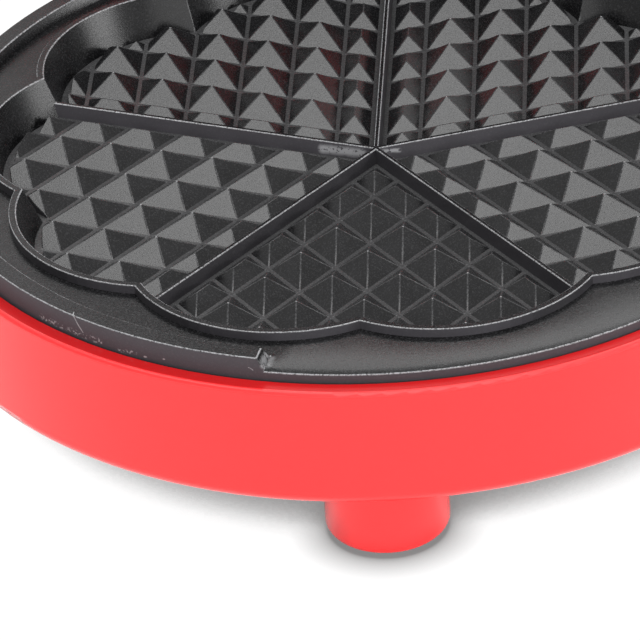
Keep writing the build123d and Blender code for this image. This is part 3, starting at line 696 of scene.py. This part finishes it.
def screw(points, axis):
    """Points and faces of a cross-head screw that stands where a CAD screw's points are.

    The head is what lies near the full radius about the screw's axis, and the shank's radius is the
    largest one well inside that. The shank is turned from a profile that ends in a blunt point.
    """
    along = points @ axis
    across = points - along[:, None] * axis
    centre = (across.min(axis=0) + across.max(axis=0)) / 2
    centre -= axis * (centre @ axis)
    radius = np.linalg.norm(across - centre, axis=1)
    head_share, shank_share = 0.9, 0.8
    at_head = radius > radius.max() * head_share
    shank = radius[radius < radius.max() * shank_share].max()
    head_low, head_high = along[at_head].min(), along[at_head].max()
    outward = axis if abs(head_high - along.max()) < abs(head_low - along.min()) else -axis
    length = along.max() - along.min() - (head_high - head_low)
    head, head_faces = cross_head(radius.max(), head_high - head_low)
    sides, point_radius, point_length = 20, shank * 0.6, shank * 0.4
    profile = [(0, 0), (shank, 0), (shank, point_length - length), (point_radius, -length), (0, -length)]
    body, body_faces = turned_ring(profile, sides)
    local = np.concatenate([head, body])
    faces = np.concatenate([head_faces, body_faces + len(head)])
    turn = np.array(Vector((0, 0, 1)).rotation_difference(Vector(outward)).to_matrix())
    base = head_low if outward @ axis > 0 else head_high
    return local @ turn.T + centre + axis * base, faces


def joined_piece(name, shells, material, body, node):
    """One mesh of several closed shells of points and faces, in place of a CAD node."""
    all_points, all_faces = zip(*shells)
    offsets = np.cumsum([0] + [len(points) for points in all_points])
    mesh = bpy.data.meshes.new(name)
    points = np.concatenate(all_points)
    faces = np.concatenate([faces + offset for faces, offset in zip(all_faces, offsets)])
    mesh.from_pydata(points.tolist(), [], faces.tolist())
    build = bmesh.new()
    build.from_mesh(mesh)
    merge_distance, thinnest, crease = 1e-6, 1e-7, radians(32)
    bmesh.ops.remove_doubles(build, verts=build.verts, dist=merge_distance)
    bmesh.ops.dissolve_degenerate(build, edges=build.edges, dist=thinnest)
    bmesh.ops.recalc_face_normals(build, faces=build.faces)
    for face in build.faces:
        face.smooth = True
    build.to_mesh(mesh)
    build.free()
    mesh.set_sharp_from_angle(angle=crease)
    mesh.materials.append(material)
    piece = bpy.data.objects.new(name, mesh)
    bpy.context.scene.collection.objects.link(piece)
    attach(piece, body)
    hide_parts(node)


def grooved_pad(points):
    """A rubber pad with two ring grooves in its sole: a profile turned about the pad's own middle."""
    low, high = points.min(axis=0), points.max(axis=0)
    reach, thickness = (high[0] - low[0]) / 2, high[2] - low[2]
    groove_depth, bevel, sides = 0.2, 0.05, 48
    sole, deep = 0.0, thickness * groove_depth
    shares = (0.0, 0.26, 0.30, 0.42, 0.46, 0.66, 0.70, 0.80, 0.84, 0.95)
    depths = (sole, sole, deep, deep, sole, sole, deep, deep, sole, sole)
    profile = [(share * reach, depth) for share, depth in zip(shares, depths)]
    profile += [(reach, reach * bevel), (reach, thickness), (0, thickness)]
    ring, faces = turned_ring(profile, sides)
    return ring + np.array(((low[0] + high[0]) / 2, (low[1] + high[1]) / 2, low[2])), faces


class WAFFLE_OT_castings(bpy.types.Operator):
    """Rounds the two cooking plates and gives them their coating"""

    bl_idname = "waffle.castings"
    bl_label = "Cooking plates"

    def execute(self, context):
        settings = context.scene.waffle_coating
        coating = coating_material(settings)
        for half, body, normal in (("lower", "base", face_up), ("upper", "lid", facing_lid)):
            node = frame["nodes"][f"{half}_cooking_plate"]
            piece = rounded_casting(node, settings.edge_radius, normal)
            piece.data.materials.append(coating)
            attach(piece, body)
            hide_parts(node.name)
        return {"FINISHED"}


class WAFFLE_OT_shells(bpy.types.Operator):
    """Gives the housings, feet and handle their red"""

    bl_idname = "waffle.shells"
    bl_label = "Red shells"

    def execute(self, context):
        settings = context.scene.waffle_shells
        feet = [f"foot_{place}" for place in ("front", "right", "rear", "left")]
        base_red = shell_material("base_red", settings, *plate_place("lower_cooking_plate", face_up))
        dress(base_red, "base_housing", *feet)
        lid_red = shell_material("lid_red", settings, *plate_place("upper_cooking_plate", facing_lid))
        dress(lid_red, "lid_housing", "handle_grip", "handle_liner")
        return {"FINISHED"}


class WAFFLE_OT_screws(bpy.types.Operator):
    """Puts cross-head screws in place of the plain ones"""

    bl_idname = "waffle.screws"
    bl_label = "Screws"

    def execute(self, context):
        steel = plated_steel()
        lid_up = lid_turn @ face_up
        lid_front = lid_turn @ Vector((0, 1, 0))
        for name, body, axis in (
            ("lower_plate_screws", "base", face_up),
            ("foot_screws", "base", face_up),
            ("upper_plate_screws", "lid", lid_up),
            ("liner_screws", "lid", lid_up),
            ("handle_screws", "lid", lid_front),
        ):
            screws = [screw(points, np.array(axis)) for points in solids_of(frame["nodes"][name])]
            joined_piece(f"{name}_cross_head", screws, steel, body, name)
        return {"FINISHED"}


class WAFFLE_OT_pads(bpy.types.Operator):
    """Puts grooved rubber pads in place of the plain ones"""

    bl_idname = "waffle.pads"
    bl_label = "Foot pads"

    def execute(self, context):
        rubber = plain_material("black_rubber", (0.02, 0.02, 0.02), 0.70)
        pads = [grooved_pad(points) for points in solids_of(frame["nodes"]["foot_pads"])]
        joined_piece("foot_pads_grooved", pads, rubber, "base", "foot_pads")
        return {"FINISHED"}


class WAFFLE_OT_heating(bpy.types.Operator):
    """Gives the elements, reflectors, leads, thermostat and fuse their finishes"""

    bl_idname = "waffle.heating"
    bl_label = "Heating pieces"

    def execute(self, context):
        tube = plain_material("element_tube", (0.20, 0.19, 0.18), 0.45, metallic=1.0)
        dress(tube, "lower_heating_element", "upper_heating_element")
        sheet = plain_material("reflector_sheet", (0.70, 0.70, 0.71), 0.28, metallic=1.0)
        dress(sheet, "lower_heat_reflector", "upper_heat_reflector")
        brass = plain_material("contact_brass", (0.62, 0.45, 0.18), 0.35, metallic=1.0)
        dress(brass, "lower_element_spades", "upper_element_spades", "element_leads", "thermostat_leads")
        ceramic = plain_material("glazed_ceramic", (0.80, 0.79, 0.74), 0.30)
        dress(ceramic, "lower_element_beads", "upper_element_beads", "terminal_block")
        sleeve = plain_material("glass_sleeve", (0.74, 0.72, 0.66), 0.75, grain_size=0.0004)
        dress(sleeve, "thermal_fuse")
        dress(plated_steel(), "thermostat", "fuse_clip")
        return {"FINISHED"}


class WAFFLE_OT_fittings(bpy.types.Operator):
    """Gives the hinge pins, cord gland, lenses, lamps and their board their finishes"""

    bl_idname = "waffle.fittings"
    bl_label = "Pins, gland and lamps"

    def execute(self, context):
        dress(plated_steel(), "hinge_pins")
        plastic = plain_material("black_plastic", (0.02, 0.02, 0.021), 0.42)
        dress(plastic, "cord_gland", "gland_nut")
        laminate = plain_material("green_laminate", (0.02, 0.14, 0.05), 0.40)
        dress(laminate, "lamp_board")
        for name, colour in (("power_lens", (0.30, 0.004, 0.006)), ("ready_lens", (0.02, 0.30, 0.06))):
            lens = plain_material(f"{name}_plastic", colour, 0.12)
            dress(lens, name)
        bulb = plain_material("lamp_glass", (0.80, 0.80, 0.78), 0.10)
        dress(bulb, "power_lamp", "ready_lamp")
        return {"FINISHED"}


def softbox(name, place, aim, size, radiance):
    """A rectangular softbox at a place, turned towards a point: its power is radiance times pi times area."""
    data = bpy.data.lights.new(name, "AREA")
    data.shape = "RECTANGLE"
    data.size, data.size_y = size
    data.energy = radiance * pi * size[0] * size[1]
    lamp = bpy.data.objects.new(name, data)
    lamp.location = place
    lamp.rotation_euler = (Vector(aim) - Vector(place)).to_track_quat("-Z", "Y").to_euler()
    bpy.context.scene.collection.objects.link(lamp)


def floor_mesh():
    """A plain square floor just under the feet."""
    mesh = bpy.data.meshes.new("floor")
    reach, level = 6.0, -0.0001
    corners = [(-reach, -reach, level), (reach, -reach, level), (reach, reach, level), (-reach, reach, level)]
    mesh.from_pydata(corners, [], [(0, 1, 2, 3)])
    return mesh


def seen_rays(wiring):
    """1 for the rays that show a background: from the camera, in gloss and through glass."""
    path = wiring.add("ShaderNodeLightPath")
    sight = wiring.math("MAXIMUM", path.outputs["Is Camera Ray"], path.outputs["Is Glossy Ray"])
    return wiring.math("MAXIMUM", sight, path.outputs["Is Transmission Ray"])


def floor_material(settings):
    """Pale floor, seen white, that keeps the object's shadow and its darkening beneath."""
    material, shader = part_material("pale_floor")
    wiring = Wiring(material.node_tree)
    shader.inputs["Base Color"].default_value = opaque(settings.floor_colour)
    shader.inputs["Roughness"].default_value = 0.9
    shader.inputs["Specular IOR Level"].default_value = 0.1
    open_floor = 1.05
    under_object, round_feet = (0.12, 0.24), (0.46, 0.94)
    darkest = open_floor
    for reach, openness in ((settings.shadow_reach, under_object), (settings.contact_reach, round_feet)):
        near = wiring.add("ShaderNodeAmbientOcclusion", {"samples": 32}, Distance=reach)
        shade = band(wiring, near.outputs["AO"], *openness)
        shade.node.inputs["To Min"].default_value = settings.shadow_depth
        shade.node.inputs["To Max"].default_value = open_floor
        darkest = wiring.math("MINIMUM", shade, darkest)
    white = wiring.add("ShaderNodeEmission", Color=(1, 1, 1, 1), Strength=darkest)
    seen = wiring.tree.nodes.new("ShaderNodeMixShader")
    wiring.feed(seen.inputs[0], wiring.math("MULTIPLY", seen_rays(wiring), settings.floor_lift))
    wiring.feed(seen.inputs[1], shader.outputs[0])
    wiring.feed(seen.inputs[2], white.outputs[0])
    wiring.feed(wiring.tree.nodes["Material Output"].inputs["Surface"], seen.outputs[0])
    return material


def plain_world(level):
    """Even room light; the camera, gloss and glass see it white."""
    world = bpy.data.worlds.new("room")
    world.use_nodes = True
    wiring = Wiring(world.node_tree)
    lit = world.node_tree.nodes["Background"]
    lit.inputs["Color"].default_value = (1, 1, 1, 1)
    sight = seen_rays(wiring)
    wiring.feed(lit.inputs["Strength"], wiring.math("ADD", level, wiring.math("MULTIPLY", sight, 1 - level)))
    bpy.context.scene.world = world


def photo_camera(view):
    """The camera that took the photograph.

    With t the azimuth and e the elevation, it looks along (-sin t cos e, cos t cos e, -sin e). Its
    right and up start square to that, with right level, and are turned about it by the roll.
    """
    turn, tilt, roll = (radians(angle) for angle in (view.azimuth, view.elevation, view.roll))
    forward = Vector((-sin(turn) * cos(tilt), cos(turn) * cos(tilt), -sin(tilt)))
    level_right = Vector((cos(turn), sin(turn), 0))
    level_up = level_right.cross(forward)
    right = level_right * cos(roll) + level_up * sin(roll)
    up = level_up * cos(roll) - level_right * sin(roll)
    data = bpy.data.cameras.new("photo_camera")
    data.lens = view.lens
    data.sensor_width = 36.0
    data.clip_end = 50.0
    camera = bpy.data.objects.new("photo_camera", data)
    facing = Matrix((right, up, -forward)).transposed().to_4x4()
    camera.matrix_world = Matrix.Translation(plate_middle + Vector(view.offset)) @ facing
    bpy.context.scene.collection.objects.link(camera)
    return camera


class WAFFLE_OT_stage(bpy.types.Operator):
    """Sets the floor, the lamps, the room and the camera"""

    bl_idname = "waffle.stage"
    bl_label = "Stage and camera"

    def execute(self, context):
        scene = context.scene
        settings = scene.waffle_stage
        floor = bpy.data.objects.new("floor", floor_mesh())
        floor.data.materials.append(floor_material(settings))
        scene.collection.objects.link(floor)
        # Places are metres from the plate's middle
        for name, place, size, level in (
            ("overhead_left", (-0.46, -0.26, 1.0), (0.48, 0.48), settings.overhead_level),
            ("overhead_right", (0.31, -0.26, 1.0), (0.48, 0.48), settings.overhead_level),
            ("front", (0.2, -1.7, 0.35), (1.8, 1.2), settings.front_level),
            ("right", (1.5, -0.3, 0.30), (0.7, 0.5), settings.right_level),
            ("rear", (0.2, 1.2, 1.45), (1.6, 0.5), settings.rear_level),
        ):
            place = plate_middle + Vector(place)
            aim = place - face_up if name.startswith("overhead") else plate_middle
            softbox(name, place, aim, size, level)
        plain_world(settings.world_level)
        scene.camera = photo_camera(scene.waffle_camera)
        scene.view_settings.view_transform = "Standard"
        return {"FINISHED"}


class WAFFLE_PT_panel(bpy.types.Panel):
    """Lists the steps in the order they run"""

    bl_idname = "WAFFLE_PT_panel"
    bl_label = "Waffle Maker"
    bl_space_type = "VIEW_3D"
    bl_region_type = "UI"
    bl_category = "Waffle Maker"

    def draw(self, context):
        for step in steps:
            self.layout.operator(step.bl_idname)


steps = (
    WAFFLE_OT_stage,
    WAFFLE_OT_castings,
    WAFFLE_OT_shells,
    WAFFLE_OT_screws,
    WAFFLE_OT_pads,
    WAFFLE_OT_heating,
    WAFFLE_OT_fittings,
)
settings_groups = {
    "waffle_camera": CameraSettings,
    "waffle_stage": StageSettings,
    "waffle_coating": CoatingSettings,
    "waffle_shells": ShellSettings,
}


def register():
    for group in settings_groups.values():
        bpy.utils.register_class(group)
    for name, group in settings_groups.items():
        setattr(bpy.types.Scene, name, bpy.props.PointerProperty(type=group))
    for step in (*steps, WAFFLE_PT_panel):
        bpy.utils.register_class(step)


def unregister():
    for step in reversed((*steps, WAFFLE_PT_panel)):
        bpy.utils.unregister_class(step)
    for name, group in settings_groups.items():
        delattr(bpy.types.Scene, name)
        bpy.utils.unregister_class(group)


def main():
    register()
    bpy.ops.waffle.stage()
    bpy.ops.waffle.castings()
    bpy.ops.waffle.shells()
    bpy.ops.waffle.screws()
    bpy.ops.waffle.pads()
    bpy.ops.waffle.heating()
    bpy.ops.waffle.fittings()


if __name__ == "__main__":
    main()
